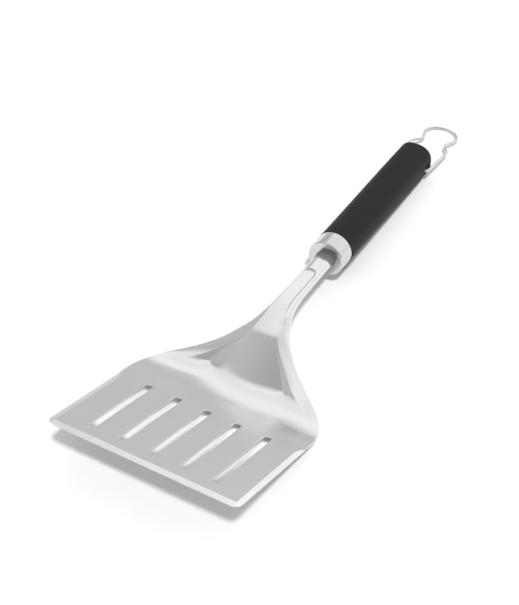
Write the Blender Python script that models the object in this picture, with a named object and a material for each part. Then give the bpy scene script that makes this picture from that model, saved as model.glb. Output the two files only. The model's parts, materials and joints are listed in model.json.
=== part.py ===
"""Grill spatula with a slotted pressed-steel head, a round grip and a swinging wire hanging loop.

The head is drawn flat in a tool frame: X across the blade, Y from the front edge towards the
handle, Z up, with the blade's top face at Z = 0. The handle has its own frame, with its Y along
the grip, and the hanging loop has a third, with its X on the pivot. Empties carry the three
frames, and the first of them tips the tool into the pose in which it lies on a table.
"""

import math

import bmesh
import bpy
import numpy as np

# ---------------------------------------------------------------- driving dimensions, in metres
BLADE_WIDTH = 0.140
SHEET = 0.0012                 # thickness of the pressed steel sheet
EDGE_SHEET = 0.0006            # what is left of it at the ground edges
NORMAL_STEP = 0.00002          # for reading the slope of the top face
CORNER_RADIUS = 0.006
FRONT_BEVEL = 0.0052
SIDE_BEVEL = 0.0037
SIDE_BEVEL_END = 0.084         # where the side bevel starts to run out
SIDE_BEVEL_RUNOUT = 0.009

SLOT_COUNT = 5
SLOT_PITCH = 0.02265
SLOT_WIDTH = 0.0047
SLOT_FRONT = 0.0152
SLOT_REAR = 0.0916

HANDLE_START = (0.2393, 0.0651)   # Y and Z of the collar's front face on the handle's axis
HANDLE_SLOPE = math.radians(16.1)
SHAFT_END = -0.0056            # the shaft stops this far before the collar's face

FERRULE_HALF = (0.0070, 0.0047, 0.0041)   # half width, height above and depth below the axis
FERRULE_DEPTH = 0.0085         # how far it reaches behind the collar's face
FERRULE_GROOVE = 0.0023        # from the shaft's end to the middle of the ring groove

COLLAR_RADIUS = 0.01365
COLLAR_LENGTH = 0.0147
COLLAR_WALL = 0.0025
GRIP_FRONT_RADIUS = 0.0139
GRIP_REAR_RADIUS = 0.0132
GRIP_SQUARENESS = 0.6          # how much squarer than a circle the grip is at its rear
GRIP_RINGS = 8
GRIP_END = 0.1509
CORE_RADIUS = 0.0104
SLEEVE_BORE = 0.0107
PLUG_THICKNESS = 0.0040

TANG_HALF_WIDTH = 0.0045
TANG_THICKNESS = 0.0020
TANG_TOP = -0.0002
TANG_FRONT = -0.042
TANG_REAR = 0.108
PIN_RADIUS = 0.0015
PIN_PLACES = (0.042, 0.090)
PIN_LENGTH = 0.0200

WIRE_RADIUS = 0.0011
PIVOT = (0.1396, -0.0006)      # Y and Z of the loop's pivot in the handle's frame
LOOP_DROOP = math.radians(6.25)
LOOP_HOLE_DEPTH = 0.0085       # the wire's ends reach in to this distance from the middle

GAP = 0.0003                   # between neighbouring pieces
REST_TILT = math.radians(19.82)

# Across the head, by distance from the front edge: half width, height of the sheet's edge,
# how steeply the band beside the recess falls towards that edge, and height of the floor over
# the middle, all to the top face.
HEAD_STATIONS = (
    (0.000, 0.0700, 0.0000, 0.00, 0.0000),
    (0.096, 0.0700, 0.0000, 0.00, 0.0000),
    (0.106, 0.0699, 0.0001, 0.00, 0.0000),
    (0.112, 0.0693, 0.0001, 0.00, 0.0002),
    (0.116, 0.0684, 0.0003, 0.00, 0.0006),
    (0.120, 0.0672, 0.0007, 0.00, 0.0012),
    (0.124, 0.0655, 0.0013, 0.00, 0.0022),
    (0.128, 0.0635, 0.0022, 0.02, 0.0036),
    (0.131, 0.0615, 0.0031, 0.05, 0.0051),
    (0.133, 0.0598, 0.0038, 0.08, 0.0067),
    (0.136, 0.0566, 0.0051, 0.13, 0.0100),
    (0.140, 0.0513, 0.0073, 0.21, 0.0149),
    (0.143, 0.0460, 0.0100, 0.28, 0.0188),
    (0.146, 0.0405, 0.0132, 0.36, 0.0225),
    (0.152, 0.0291, 0.0212, 0.50, 0.0298),
    (0.1565, 0.0226, 0.0273, 0.57, 0.0352),
    (0.158, 0.0208, 0.0292, 0.60, 0.0366),
    (0.164, 0.0156, 0.0352, 0.70, 0.0418),
    (0.170, 0.0121, 0.0395, 0.70, 0.0467),
    (0.176, 0.0101, 0.0424, 0.70, 0.0497),
    (0.184, 0.0087, 0.0458, 0.70, 0.0525),
    (0.196, 0.0078, 0.0501, 0.70, 0.0558),
    (0.212, 0.0075, 0.0549, 0.70, 0.0603),
    (0.236, 0.0075, 0.0619, 0.70, 0.0678),
)

# The recess pressed into the neck and along the shaft, by distance from the front edge: half
# width at the top of its wall, depth, and width of the wall. Towards the blade the wall widens
# until the floor runs out smoothly into the sheet.
RECESS_STATIONS = (
    (0.000, 0.0690, 0.0000, 0.0600),
    (0.120, 0.0670, 0.0000, 0.0580),
    (0.128, 0.0620, 0.0000, 0.0520),
    (0.1330, 0.0540, 0.0000, 0.0380),
    (0.1360, 0.0450, 0.0004, 0.0240),
    (0.1385, 0.0375, 0.0014, 0.0110),
    (0.1405, 0.0335, 0.0021, 0.0060),
    (0.1425, 0.0302, 0.0022, 0.0050),
    (0.146, 0.0247, 0.0020, 0.0045),
    (0.151, 0.0172, 0.0018, 0.0035),
    (0.157, 0.0108, 0.0016, 0.0026),
    (0.163, 0.0086, 0.0015, 0.0018),
    (0.170, 0.0071, 0.0014, 0.0016),
    (0.184, 0.0054, 0.0014, 0.0016),
    (0.192, 0.0052, 0.0014, 0.0016),
    (0.205, 0.0051, 0.0014, 0.0016),
    (0.224, 0.0050, 0.0014, 0.0016),
)
RECESS_END = 0.2200            # the rounded end near the collar
SHAFT_START = 0.1750           # from here the sections turn square to the handle's axis
SHAFT_SQUARE = 0.2200          # and here they are square to it
SHAFT_BLEND = (0.1520, 0.1720)    # the bands beside the recess turn into the shaft's round back
BACK_BLEND = (0.1500, 0.1900)     # the back changes from a parabola to a half-round shaft
BACK_POWER = (2.0, 2.9)           # from the first of these to the second
BACK_FLATNESS = (1.0, 0.38)
WALL_COLUMNS = (0.1280, 0.1400)   # the mesh's columns gather at the wall of the recess
OPEN_COLUMNS = (0.38, 0.62)       # and ahead of it they lie at these shares of the half width
SCOOP_BLEND = (0.1160, 0.1400)    # the floor's level lines bend more and more to the rear
SCOOP_BEND = (3.5, 7.5)           # from the first of these to the second, in 1/m

# One half of the hanging loop's centre line, from the pivot's bend to the middle of the bulb.
LOOP_HALF = (
    (0.01290, 0.0000),
    (0.01420, 0.0006),
    (0.01475, 0.0022),
    (0.01490, 0.0060),
    (0.01520, 0.0180),
    (0.01540, 0.0300),
    (0.01510, 0.0358),
    (0.01320, 0.0396),
    (0.01085, 0.0424),
    (0.00985, 0.0457),
    (0.01060, 0.0500),
    (0.01230, 0.0548),
    (0.01290, 0.0595),
    (0.01180, 0.0637),
    (0.00930, 0.0672),
    (0.00520, 0.0697),
    (0.00000, 0.0706),
)

COLORS = {
    "steel": ((0.62, 0.62, 0.62), 0.34, 1.0),
    "polished_steel": ((0.80, 0.80, 0.80), 0.10, 1.0),
    "dark_nylon": ((0.13, 0.13, 0.13), 0.50, 0.0),
    "black_grip": ((0.030, 0.030, 0.031), 0.62, 0.0),
    "black_plastic": ((0.025, 0.025, 0.025), 0.45, 0.0),
}


# ---------------------------------------------------------------- helpers
def material(name):
    """The Principled material of that name, made the first time it is asked for."""
    found = bpy.data.materials.get(name)
    if found:
        return found
    color, roughness, metallic = COLORS[name]
    made = bpy.data.materials.new(name)
    made.use_nodes = True
    shader = made.node_tree.nodes["Principled BSDF"]
    shader.inputs["Base Color"].default_value = (*color, 1.0)
    shader.inputs["Roughness"].default_value = roughness
    shader.inputs["Metallic"].default_value = metallic
    return made


def frame(name, parent=None, location=(0, 0, 0), turn_x=0.0):
    """An empty that carries a frame, turned about X."""
    empty = bpy.data.objects.new(name, None)
    bpy.context.scene.collection.objects.link(empty)
    empty.parent = parent
    empty.location = location
    empty.rotation_euler = (turn_x, 0, 0)
    return empty


def add_object(name, bm, parent, finish=None, smooth_angle=35):
    """Close the bmesh into an object under its frame, with outward faces."""
    bmesh.ops.recalc_face_normals(bm, faces=bm.faces)
    mesh = bpy.data.meshes.new(name)
    bm.to_mesh(mesh)
    bm.free()
    mesh.shade_smooth()
    mesh.set_sharp_from_angle(angle=math.radians(smooth_angle))
    made = bpy.data.objects.new(name, mesh)
    bpy.context.scene.collection.objects.link(made)
    made.parent = parent
    if finish:
        made.data.materials.append(material(finish))
    return made


def cut(target, cutter):
    """Subtract the cutter from the target, and keep the cutter as a hidden guide."""
    cutter.hide_render = True
    cutter.display_type = "WIRE"
    modifier = target.modifiers.new("cut_" + cutter.name, "BOOLEAN")
    modifier.operation = "DIFFERENCE"
    modifier.solver = "EXACT"
    modifier.object = cutter


def smooth_through(stations, at):
    """Monotone cubic through rows of (position, value, ...), read at the given position."""
    rows = np.array(stations)
    place, values = rows[:, 0], rows[:, 1:]
    step = np.diff(place)
    slope = np.diff(values, axis=0) / step[:, None]
    tangent = np.zeros_like(values)
    for i in range(1, len(place) - 1):
        before, after = slope[i - 1], slope[i]
        weight_a = 2 * step[i] + step[i - 1]
        weight_b = step[i] + 2 * step[i - 1]
        same_way = before * after > 0
        safe_before = np.where(same_way, before, 1.0)
        safe_after = np.where(same_way, after, 1.0)
        mean = (weight_a + weight_b) / (weight_a / safe_before + weight_b / safe_after)
        tangent[i] = np.where(same_way, mean, 0.0)
    tangent[0], tangent[-1] = slope[0], slope[-1]
    at = min(max(at, place[0]), place[-1])
    i = min(int(np.searchsorted(place, at, side="right")) - 1, len(step) - 1)
    t = (at - place[i]) / step[i]
    return (
        values[i] * (1 + 2 * t) * (1 - t) ** 2
        + tangent[i] * step[i] * t * (1 - t) ** 2
        + values[i + 1] * t * t * (3 - 2 * t)
        + tangent[i + 1] * step[i] * t * t * (t - 1)
    )


def ease(value):
    """0 below 0, 1 above 1, and a smooth step between."""
    value = min(max(value, 0.0), 1.0)
    return value * value * (3 - 2 * value)


def closed_loft(rings):
    """Skin a list of closed rings of equal length and cap both ends."""
    bm = bmesh.new()
    made = [[bm.verts.new(point) for point in ring] for ring in rings]
    count = len(rings[0])
    for low, high in zip(made, made[1:]):
        for i in range(count):
            j = (i + 1) % count
            bm.faces.new((low[i], low[j], high[j], high[i]))
    bm.faces.new(made[0][::-1])
    bm.faces.new(made[-1])
    return bm


def lathe(profile, segments=48, closed=False, reach=lambda along, radius, angle: radius):
    """Turn (distance along Y, radius) about the Y axis. A closed profile makes a ring."""
    bm = bmesh.new()
    turns = [2 * math.pi * i / segments for i in range(segments)]
    rings = []
    for along, radius in profile:
        if radius < 1e-9:
            rings.append([bm.verts.new((0, along, 0))])
            continue
        ring = []
        for a in turns:
            out = reach(along, radius, a)
            ring.append(bm.verts.new((out * math.cos(a), along, out * math.sin(a))))
        rings.append(ring)
    pairs = list(zip(rings, rings[1:]))
    if closed:
        pairs.append((rings[-1], rings[0]))
    for low, high in pairs:
        for i in range(segments):
            j = (i + 1) % segments
            corners = [low[i % len(low)], low[j % len(low)], high[j % len(high)], high[i % len(high)]]
            unique = list(dict.fromkeys(corners))
            bm.faces.new(unique)
    return bm


def arc(center, radius, start, end, steps):
    """Points on an arc in a profile, in degrees from the +Y direction towards larger radius."""
    angles = np.radians(np.linspace(start, end, steps))
    return [(center[0] + radius * math.cos(a), center[1] + radius * math.sin(a)) for a in angles]


def oval(half_width, up, down, y, count=40, power=2.6):
    """A closed superellipse ring across the handle's axis, flatter below than above."""
    ring = []
    for i in range(count):
        angle = 2 * math.pi * i / count
        c, s = math.cos(angle), math.sin(angle)
        x = half_width * math.copysign(abs(c) ** (2 / power), c)
        z = (up if s > 0 else down) * math.copysign(abs(s) ** (2 / power), s)
        ring.append((x, y, z))
    return ring


def box_rings(x, y, z):
    """Two rings of a box given by its lowest and highest values on each axis."""
    corners = [(x[0], z[0]), (x[1], z[0]), (x[1], z[1]), (x[0], z[1])]
    return [[(a, y_end, b) for a, b in corners] for y_end in y]


def rod(radius, axis, low, high, across, segments=16):
    """A cylinder along axis X or Z of the current frame, centred on the two other coordinates."""
    rings = []
    for end in (low, high):
        ring = []
        for i in range(segments):
            angle = 2 * math.pi * i / segments
            u = across[0] + radius * math.cos(angle)
            v = across[1] + radius * math.sin(angle)
            ring.append((end, u, v) if axis == "X" else (u, v, end))
        rings.append(ring)
    return closed_loft(rings)


# ---------------------------------------------------------------- the pressed head
def head_rows():
    """Distances from the front edge at which the head's sheet is sampled."""
    corner = [CORNER_RADIUS * (1 - math.cos(math.radians(a))) for a in (0, 20, 40, 60, 90)]
    bevel = [FRONT_BEVEL, 0.030, 0.060, SIDE_BEVEL_END]
    bevel += [SIDE_BEVEL_END + SIDE_BEVEL_RUNOUT * f for f in (0.45, 0.75, 0.93, 1.0)]
    neck = list(np.arange(0.098, 0.1295, 0.0030)) + list(np.arange(0.1305, 0.1725, 0.0015))
    shaft = list(np.arange(0.178, 0.2145, 0.0065))
    end = [RECESS_END - d for d in (0.0040, 0.0020, 0.0008, 0.0)]
    last = HANDLE_START[0] + SHAFT_END * math.cos(HANDLE_SLOPE)
    return sorted(corner + bevel) + neck + shaft + end + [0.2270, last]


def half_width(y):
    """Half width of the head's outline, with the front corners rounded."""
    width = smooth_through(HEAD_STATIONS, y)[0]
    if y < CORNER_RADIUS:
        back = CORNER_RADIUS - y
        width += math.sqrt(CORNER_RADIUS ** 2 - back ** 2) - CORNER_RADIUS
    return width


def side_bevel(y):
    """Width of the ground bevel along the blade's sides, which runs out in a round."""
    past = (y - SIDE_BEVEL_END) / SIDE_BEVEL_RUNOUT
    if past <= 0:
        return SIDE_BEVEL
    return SIDE_BEVEL * math.sqrt(max(0.0, 1 - past * past))


def blend(y, span):
    """0 before a stretch of the head and 1 behind it."""
    return ease((y - span[0]) / (span[1] - span[0]))


def between(span, share):
    return span[0] + (span[1] - span[0]) * share


def recess_share(x, y):
    """1 on the floor of the recess, 0 outside it, closing in a round at its rear end."""
    border, _, wall = smooth_through(RECESS_STATIONS, y)
    into_end = y - (RECESS_END - border)
    if into_end > 0:
        border = math.sqrt(max(0.0, border ** 2 - into_end ** 2))
    if y >= RECESS_END:
        return 0.0
    return 1 - ease((abs(x) - border + wall) / wall)


def section_point(x, y, width, crown_only=False):
    """Top face of the sheet at x, y. Without the step of the recess and the bevels if crown_only."""
    _, edge, lean, floor = smooth_through(HEAD_STATIONS, y)
    border, depth, _ = smooth_through(RECESS_STATIONS, y)
    inner = min(border, width)
    inside = min(abs(x), inner)
    band = width - max(abs(x), inner) + (inner ** 2 - inside ** 2) / (2 * inner)
    band = edge + lean * band
    to_shaft = blend(y, BACK_BLEND)
    power = between(BACK_POWER, to_shaft)
    flatness = between(BACK_FLATNESS, to_shaft)
    part = min(abs(x) / width, 1.0)
    back = edge + (floor + depth - edge) * (1 - part ** power) ** flatness
    around = band + blend(y, SHAFT_BLEND) * (back - band)
    bend = between(SCOOP_BEND, blend(y, SCOOP_BLEND))
    scoop = smooth_through(HEAD_STATIONS, y - bend * x * x)[3] + depth
    share = recess_share(x, y)
    z = around + share * (scoop - around)
    if crown_only:
        return z
    grind = (SHEET - EDGE_SHEET) * max(
        (FRONT_BEVEL - y) / FRONT_BEVEL,
        (side_bevel(y) - (width - abs(x))) / SIDE_BEVEL,
        0.0,
    )
    return z - depth * share - grind


def section_columns(y, width):
    """Places across the half section: floor, wall of the recess, band and bevel."""
    strip = max(side_bevel(y), 0.0008)
    inner = width - strip
    border, _, wall = smooth_through(RECESS_STATIONS, y)
    to_wall = blend(y, WALL_COLUMNS)
    near = between((OPEN_COLUMNS[0] * inner, border - wall), to_wall)
    far = between((OPEN_COLUMNS[1] * inner, min(border, inner - 0.0005)), to_wall)
    columns = [near * f for f in (0, 0.3, 0.6, 0.85)]
    columns += [near + (far - near) * f for f in (0, 0.25, 0.5, 0.75, 1)]
    columns += [far + (inner - far) * f for f in (0.25, 0.5, 0.75, 0.9, 1.0)]
    columns += [inner + strip * f for f in (0.5, 1.0)]
    return columns


def head_sheet():
    """The whole pressed sheet as one closed shell: top face, underside and rim."""
    bm = bmesh.new()
    top, under = [], []
    axis_slope = math.tan(HANDLE_SLOPE)
    for y in head_rows():
        width = half_width(y)
        half = section_columns(y, width)
        columns = [-x for x in half[:0:-1]] + half
        squareness = ease((y - SHAFT_START) / (SHAFT_SQUARE - SHAFT_START))
        axis_z = HANDLE_START[1] + (y - HANDLE_START[0]) * axis_slope
        row_top, row_under = [], []
        for x in columns:
            z = section_point(x, y, width)
            step = NORMAL_STEP
            inner_x = x - math.copysign(step, x) if abs(x) > step else x
            level = section_point(inner_x, y, width, True)
            aside = section_point(inner_x - math.copysign(step, x), y, width, True)
            ahead = section_point(inner_x * half_width(y + step) / width, y + step,
                                  half_width(y + step), True)
            slope_x = (level - aside) / math.copysign(step, x)
            slope_y = (ahead - level) / step if y > 0.09 else 0.0
            normal = np.array((-slope_x if abs(x) > step else 0.0, -slope_y, 1.0))
            normal /= np.linalg.norm(normal)
            point = np.array((x, y, z))
            drop = section_point(x, y, width, True) - z if y < 0.1 else 0.0
            below = point - (SHEET - drop) * normal
            for spot in (point, below):
                across_shaft = y - axis_slope * (spot[2] - axis_z)
                spot[1] += squareness * (across_shaft - spot[1])
            row_top.append(bm.verts.new(point))
            row_under.append(bm.verts.new(below))
        top.append(row_top)
        under.append(row_under)
    last_row, last_column = len(top) - 1, len(top[0]) - 1
    for i in range(last_row):
        for j in range(last_column):
            bm.faces.new((top[i][j], top[i][j + 1], top[i + 1][j + 1], top[i + 1][j]))
            bm.faces.new((under[i][j], under[i + 1][j], under[i + 1][j + 1], under[i][j + 1]))
        for j in (0, last_column):
            bm.faces.new((top[i][j], top[i + 1][j], under[i + 1][j], under[i][j]))
    for i in (0, last_row):
        for j in range(last_column):
            bm.faces.new((top[i][j], top[i][j + 1], under[i][j + 1], under[i][j]))
    return bm


def slot_outline(center_x, end_steps=6):
    """A long hole with round ends, as points in the blade's plane."""
    radius = SLOT_WIDTH / 2
    points = []
    for end_y, start in ((SLOT_REAR - radius, 0), (SLOT_FRONT + radius, 180)):
        for i in range(end_steps + 1):
            angle = math.radians(start + 180 * i / end_steps)
            points.append((center_x + radius * math.cos(angle), end_y + radius * math.sin(angle)))
    return points


def make_head(parent):
    head = add_object("blade_head", head_sheet(), parent, "steel", smooth_angle=30)
    for i in range(SLOT_COUNT):
        center_x = (i - (SLOT_COUNT - 1) / 2) * SLOT_PITCH
        outline = slot_outline(center_x)
        rings = [[(x, y, z) for x, y in outline] for z in (-0.01, 0.01)]
        cutter = add_object(f"slot_cutter_{i + 1}", closed_loft(rings), parent)
        cut(head, cutter)
    return head


# ---------------------------------------------------------------- the handle's pieces
def make_tang(parent):
    """Flat steel bar welded under the shaft's groove and pinned into the core."""
    z = (TANG_TOP - TANG_THICKNESS, TANG_TOP)
    rings = box_rings((-TANG_HALF_WIDTH, TANG_HALF_WIDTH), (TANG_FRONT, TANG_REAR), z)
    tang = add_object("tang", closed_loft(rings), parent, "steel")
    for i, place in enumerate(PIN_PLACES):
        hole = rod(PIN_RADIUS + GAP, "Z", -0.02, 0.02, (0, place))
        cut(tang, add_object(f"tang_hole_{i + 1}", hole, parent))


def tang_slot(parent, name, front, rear, room=GAP):
    """Cutter for the slot that the tang runs in."""
    x = TANG_HALF_WIDTH + room
    z = (TANG_TOP - TANG_THICKNESS - room, TANG_TOP + room)
    rings = box_rings((-x, x), (front, rear), z)
    return add_object(name, closed_loft(rings), parent)


def make_ferrule(parent):
    """Dark nylon nose between the shaft and the collar, with one ring groove."""
    half, up, down = FERRULE_HALF
    front = SHAFT_END + GAP
    groove = SHAFT_END + FERRULE_GROOVE
    shrink = 0.00035
    spigot = (half - 0.0024, up - 0.0026, down - 0.0012)
    stations = [
        (front - 0.0065, *spigot),
        (front, *spigot),
        (front, half - shrink, up - shrink, down - shrink),
        (front + shrink, half, up, down),
        (groove - 0.0004, half, up, down),
        (groove, half - shrink, up - shrink, down - shrink),
        (groove + 0.0004, half, up, down),
        (FERRULE_DEPTH, half, up, down),
    ]
    rings = [oval(a, b, c, y) for y, a, b, c in stations]
    ferrule = add_object("ferrule", closed_loft(rings), parent, "dark_nylon")
    cut(ferrule, tang_slot(parent, "ferrule_slot", -0.02, 0.02))


def make_collar(parent):
    """Polished steel cup with a flat front and an oval bore for the ferrule."""
    rim = 0.0010
    radius = COLLAR_RADIUS
    profile = [(0.0, 0.0)] + arc((rim, radius - rim), rim, 180, 90, 5)
    profile += [(COLLAR_LENGTH - 0.0004, radius), (COLLAR_LENGTH, radius - 0.0004)]
    profile += [(COLLAR_LENGTH, 0.0115), (COLLAR_WALL, 0.0115), (COLLAR_WALL, 0.0)]
    collar = add_object("collar", lathe(profile), parent, "polished_steel")
    half, up, down = FERRULE_HALF
    bore = [oval(half + GAP, up + GAP, down + GAP, y) for y in (-0.005, 0.005)]
    cut(collar, add_object("collar_bore", closed_loft(bore), parent))


def make_core(parent):
    """Rigid nylon core that joins the tang, the collar and the loop's pivots."""
    nose_front = FERRULE_DEPTH + GAP
    rear = GRIP_END - PLUG_THICKNESS - 0.0006
    nose_radius = 0.0112
    profile = [(nose_front, 0.0), (nose_front, nose_radius), (COLLAR_LENGTH + 0.0002, nose_radius)]
    profile += [(COLLAR_LENGTH + 0.0012, CORE_RADIUS), (rear, CORE_RADIUS), (rear, 0.0)]
    core = add_object("grip_core", lathe(profile), parent, "black_plastic")
    cut(core, tang_slot(parent, "core_slot", 0.0, TANG_REAR + GAP))
    for i, place in enumerate(PIN_PLACES):
        hole = rod(PIN_RADIUS + GAP, "Z", -0.03, 0.03, (0, place))
        cut(core, add_object(f"core_pin_hole_{i + 1}", hole, parent))
    pivots = rod(WIRE_RADIUS + GAP, "X", -0.03, 0.03, PIVOT)
    cut(core, add_object("core_pivot_hole", pivots, parent))


def make_pins(parent):
    """Steel cross pins that hold the tang in the core."""
    for name, place in zip(("tang_pin_front", "tang_pin_rear"), PIN_PLACES):
        pin = rod(PIN_RADIUS, "Z", -PIN_LENGTH / 2, PIN_LENGTH / 2, (0, place))
        add_object(name, pin, parent, "steel")


def grip_reach(along, radius, angle):
    """Radius of the grip, whose outside turns from round at the collar to slightly square."""
    outside = min(max((radius - SLEEVE_BORE) / (GRIP_REAR_RADIUS - SLEEVE_BORE), 0.0), 1.0)
    power = 2.0 + GRIP_SQUARENESS * blend(along, (COLLAR_LENGTH, GRIP_END))
    swell = (abs(math.cos(angle)) ** power + abs(math.sin(angle)) ** power) ** (-1 / power)
    return radius * (1 + outside * (swell - 1))


def make_sleeve(parent):
    """Soft-touch grip, slightly slimmer at the rear, with a ramped notch at each pivot."""
    front = COLLAR_LENGTH + GAP
    edge, end_round = 0.0004, 0.0020
    profile = [(front, SLEEVE_BORE + 0.0010), (front, GRIP_FRONT_RADIUS - edge)]
    profile += [(front + edge, GRIP_FRONT_RADIUS)]
    center = (GRIP_END - end_round, GRIP_REAR_RADIUS - end_round)
    span = (profile[-1], (center[0], GRIP_REAR_RADIUS))
    for i in range(1, GRIP_RINGS):
        share = i / GRIP_RINGS
        profile.append((between((span[0][0], span[1][0]), share), between((span[0][1], span[1][1]), share)))
    profile += arc(center, end_round, 90, 0, 7)
    profile += [(GRIP_END, SLEEVE_BORE), (front + 0.0015, SLEEVE_BORE)]
    skin = lathe(profile, closed=True, reach=grip_reach)
    sleeve = add_object("grip_sleeve", skin, parent, "black_grip")
    notch_front, notch_rear = PIVOT[0] - 0.0017, PIVOT[0] + 0.0075
    deep = GRIP_REAR_RADIUS - 0.0023
    for side, name in ((1, "right"), (-1, "left")):
        outline = [
            (side * deep, notch_front),
            (side * 0.0180, notch_front),
            (side * 0.0180, notch_rear + 0.0090),
            (side * (GRIP_REAR_RADIUS - 0.0001), notch_rear),
            (side * deep, notch_front + 0.0034),
        ]
        rings = [[(x, y, z) for x, y in outline] for z in (-0.0160, 0.0034)]
        cut(sleeve, add_object(f"notch_{name}", closed_loft(rings), parent))
    pivots = rod(WIRE_RADIUS + GAP, "X", -0.03, 0.03, PIVOT)
    cut(sleeve, add_object("sleeve_pivot_hole", pivots, parent))


def make_plug(parent):
    """Slightly domed rear plug inside the sleeve's mouth."""
    radius = SLEEVE_BORE - GAP
    front = GRIP_END - PLUG_THICKNESS
    rear = GRIP_END - 0.0006
    profile = [(front, 0.0), (front, radius), (rear - 0.0010, radius), (rear - 0.0004, radius - 0.0006)]
    profile += [(rear, 0.6 * radius), (rear + 0.0003, 0.0)]
    add_object("end_plug", lathe(profile), parent, "black_plastic")


# ---------------------------------------------------------------- the hanging loop
def loop_path():
    """Centre line of the bent wire, from one turned-in end round to the other."""
    half = np.array(LOOP_HALF)
    whole = np.vstack([half, (half * (-1, 1))[-2::-1]])
    points = [(LOOP_HOLE_DEPTH, 0.0, 0.0)]
    for i in range(len(whole) - 1):
        p0, p1 = whole[max(i - 1, 0)], whole[i]
        p2, p3 = whole[i + 1], whole[min(i + 2, len(whole) - 1)]
        for t in (0.0, 0.34, 0.67):
            a = 2 * p1
            b = (p2 - p0) * t
            c = (2 * p0 - 5 * p1 + 4 * p2 - p3) * t * t
            d = (3 * p1 - p0 - 3 * p2 + p3) * t ** 3
            x, y = 0.5 * (a + b + c + d)
            points.append((x, y, 0.0))
    points.append((*whole[-1], 0.0))
    points.append((-LOOP_HOLE_DEPTH, 0.0, 0.0))
    return np.array(points)


def flat_tube(path, radius, sides=10):
    """A round tube along a path that lies in the XY plane."""
    rings = []
    for i, point in enumerate(path):
        along = path[min(i + 1, len(path) - 1)] - path[max(i - 1, 0)]
        along /= np.linalg.norm(along)
        aside = np.array((-along[1], along[0], 0.0))
        ring = []
        for k in range(sides):
            angle = 2 * math.pi * (k + 0.5) / sides
            ring.append(point + radius * (math.cos(angle) * aside + np.array((0, 0, math.sin(angle)))))
        rings.append(ring)
    return closed_loft(rings)


def make_loop(parent):
    return add_object("hang_loop", flat_tube(loop_path(), WIRE_RADIUS), parent, "polished_steel",
                      smooth_angle=60)


# ---------------------------------------------------------------- the whole tool
def lowest_and_span():
    """Lowest Z, and lowest and highest Y, of the evaluated pieces in world space."""
    bpy.context.view_layer.update()
    graph = bpy.context.evaluated_depsgraph_get()
    low_z, ys = [], []
    for piece in bpy.context.scene.objects:
        if piece.type != "MESH" or piece.hide_render:
            continue
        shape = piece.evaluated_get(graph)
        for vertex in shape.data.vertices:
            spot = piece.matrix_world @ vertex.co
            low_z.append(spot.z)
            ys.append(spot.y)
    return min(low_z), min(ys), max(ys)


def main():
    for existing in list(bpy.data.objects):
        bpy.data.objects.remove(existing, do_unlink=True)
    tool = frame("tool_frame", turn_x=-REST_TILT)
    handle = frame("handle_frame", tool, (0, *HANDLE_START), HANDLE_SLOPE)
    pivot = frame("loop_pivot", handle, (0, *PIVOT), -LOOP_DROOP)
    make_head(tool)
    make_tang(handle)
    make_ferrule(handle)
    make_collar(handle)
    make_core(handle)
    make_pins(handle)
    make_sleeve(handle)
    make_plug(handle)
    make_loop(pivot)
    low_z, low_y, high_y = lowest_and_span()
    tool.location = (0, -(low_y + high_y) / 2, -low_z)
    bpy.context.view_layer.update()


main()
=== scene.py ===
"""Grill spatula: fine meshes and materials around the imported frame, on a pale studio floor.

The blade is drawn in the tool's frame (X across, Y from the front edge to the handle, Z up from
the top face), the grip's pieces in the handle's frame (Y along the grip, from the collar's front
face), and the hanging loop in a frame on its pivot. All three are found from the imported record.
"""

import json
import math

import bmesh
import bpy
import numpy as np
from mathutils import Matrix, Vector


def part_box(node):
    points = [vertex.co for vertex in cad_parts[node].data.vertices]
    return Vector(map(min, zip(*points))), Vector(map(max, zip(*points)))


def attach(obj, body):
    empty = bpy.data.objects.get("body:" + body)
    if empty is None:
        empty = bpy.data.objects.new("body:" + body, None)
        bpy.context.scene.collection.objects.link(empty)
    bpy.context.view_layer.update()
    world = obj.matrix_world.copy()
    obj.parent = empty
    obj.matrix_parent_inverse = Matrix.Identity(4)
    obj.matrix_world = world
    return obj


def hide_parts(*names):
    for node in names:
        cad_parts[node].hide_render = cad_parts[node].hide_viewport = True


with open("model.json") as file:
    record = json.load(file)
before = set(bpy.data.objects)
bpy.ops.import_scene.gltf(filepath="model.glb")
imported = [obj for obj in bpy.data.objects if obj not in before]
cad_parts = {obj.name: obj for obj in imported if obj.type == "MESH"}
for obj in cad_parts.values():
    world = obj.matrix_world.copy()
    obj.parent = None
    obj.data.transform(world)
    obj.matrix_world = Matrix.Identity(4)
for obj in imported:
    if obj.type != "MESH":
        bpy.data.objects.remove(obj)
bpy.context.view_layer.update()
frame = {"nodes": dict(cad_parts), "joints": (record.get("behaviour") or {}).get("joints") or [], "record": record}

MM = 0.001
SHARP_ANGLE = math.radians(30)    # faces that meet at more than this are shaded with an edge

# ---------------------------------------------------------------- the blade, in metres
SHEET = 1.2 * MM               # thickness of the pressed steel sheet
EDGE_SHEET = 0.6 * MM          # what is left of it at the ground edges
RIM_ROUND = 0.18 * MM          # rounding of the sheet's cut edges
CORNER_RADIUS = 6.0 * MM
FRONT_BEVEL = 5.2 * MM
SIDE_BEVEL = 3.7 * MM
SIDE_BEVEL_END = 84 * MM       # where the side bevel starts to run out
SIDE_BEVEL_RUNOUT = 9 * MM
SLOT_COUNT = 5
SLOT_PITCH = 22.65 * MM
SLOT_WIDTH = 4.7 * MM
SLOT_FRONT = 15.2 * MM
SLOT_REAR = 91.6 * MM
SLOT_RIM = 0.25 * MM           # rounding of the slots' edges
SLOT_END_POINTS = 15           # along each of their round ends
NECK_START = 94 * MM           # from here on the sheet is sampled closely
SHAFT_START = 175 * MM         # from here the sections turn square to the handle's axis
SHAFT_SQUARE = 220 * MM
RECESS_END = 220 * MM
SHAFT_BLEND = (152 * MM, 172 * MM)    # the bands beside the recess turn into the round back
BACK_BLEND = (150 * MM, 190 * MM)     # the back changes from a parabola to a half-round shaft
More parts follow.
